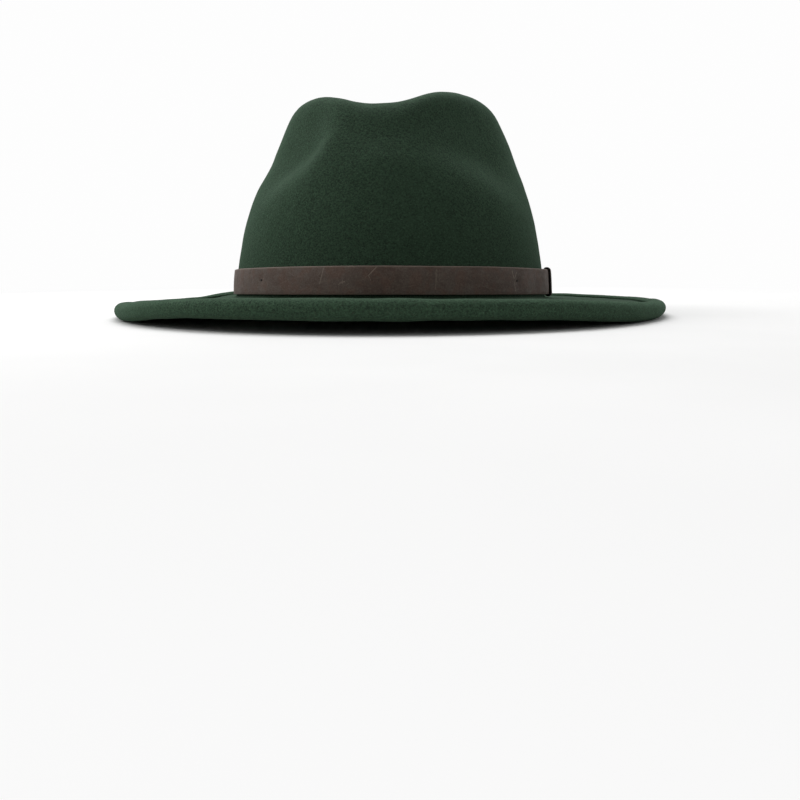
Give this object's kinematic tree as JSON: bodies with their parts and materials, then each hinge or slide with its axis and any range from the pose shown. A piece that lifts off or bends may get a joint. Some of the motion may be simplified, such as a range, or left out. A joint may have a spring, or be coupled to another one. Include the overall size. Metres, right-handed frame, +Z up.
{
  "type": "fedora hat",
  "caption": "Soft wool-felt fedora with a dented, pinched crown, softly rolled brim edge, narrow leather hatband with a sliding keeper loop, and a leather sweatband inside.",
  "frame": {"origin": "middle of the hat's box, on the level surface the brim rests on", "axes": "+Z up out of the crown, -Y the front of the hat, +X the wearer's left"},
  "size_m": [0.2983, 0.3318, 0.1147],
  "materials": {
    "felt": "dark green wool felt, matt with a fine nap",
    "band_leather": "dark brown waxed leather, scuffed, semi-matt",
    "keeper_leather": "dark brown leather with dark cut edges",
    "sweatband_leather": "brown grained leather, semi-matt",
    "reed": "translucent off-white plastic",
    "tape": "dark woven tape",
    "thread": "dark brown twisted thread",
    "bow": "dark ribbed ribbon"
  },
  "bodies": {
    "hat": {"back_bow_knot": "bow", "back_bow_ribbon": "bow", "back_seam_thread": "thread", "band_tack_back_left": "thread", "band_tack_back_right": "thread", "band_tack_front_left": "thread", "band_tack_front_right": "thread", "felt_body": "felt", "leather_hatband": "band_leather", "reed_tape": "tape", "sweatband": "sweatband_leather", "sweatband_reed": "reed", "sweatband_stitching": "thread"},
    "keeper": {"band_keeper_loop": "keeper_leather"}
  },
  "joints": [
    {"name": "keeper_slide", "type": "hinge", "parent": "hat", "child": "keeper", "pos_m": [-0.0344, -0.00011, 0.01663], "axis": [0.0049, 0.029, 0.9996], "range_deg": [-2.9, 2.9]}
  ]
}
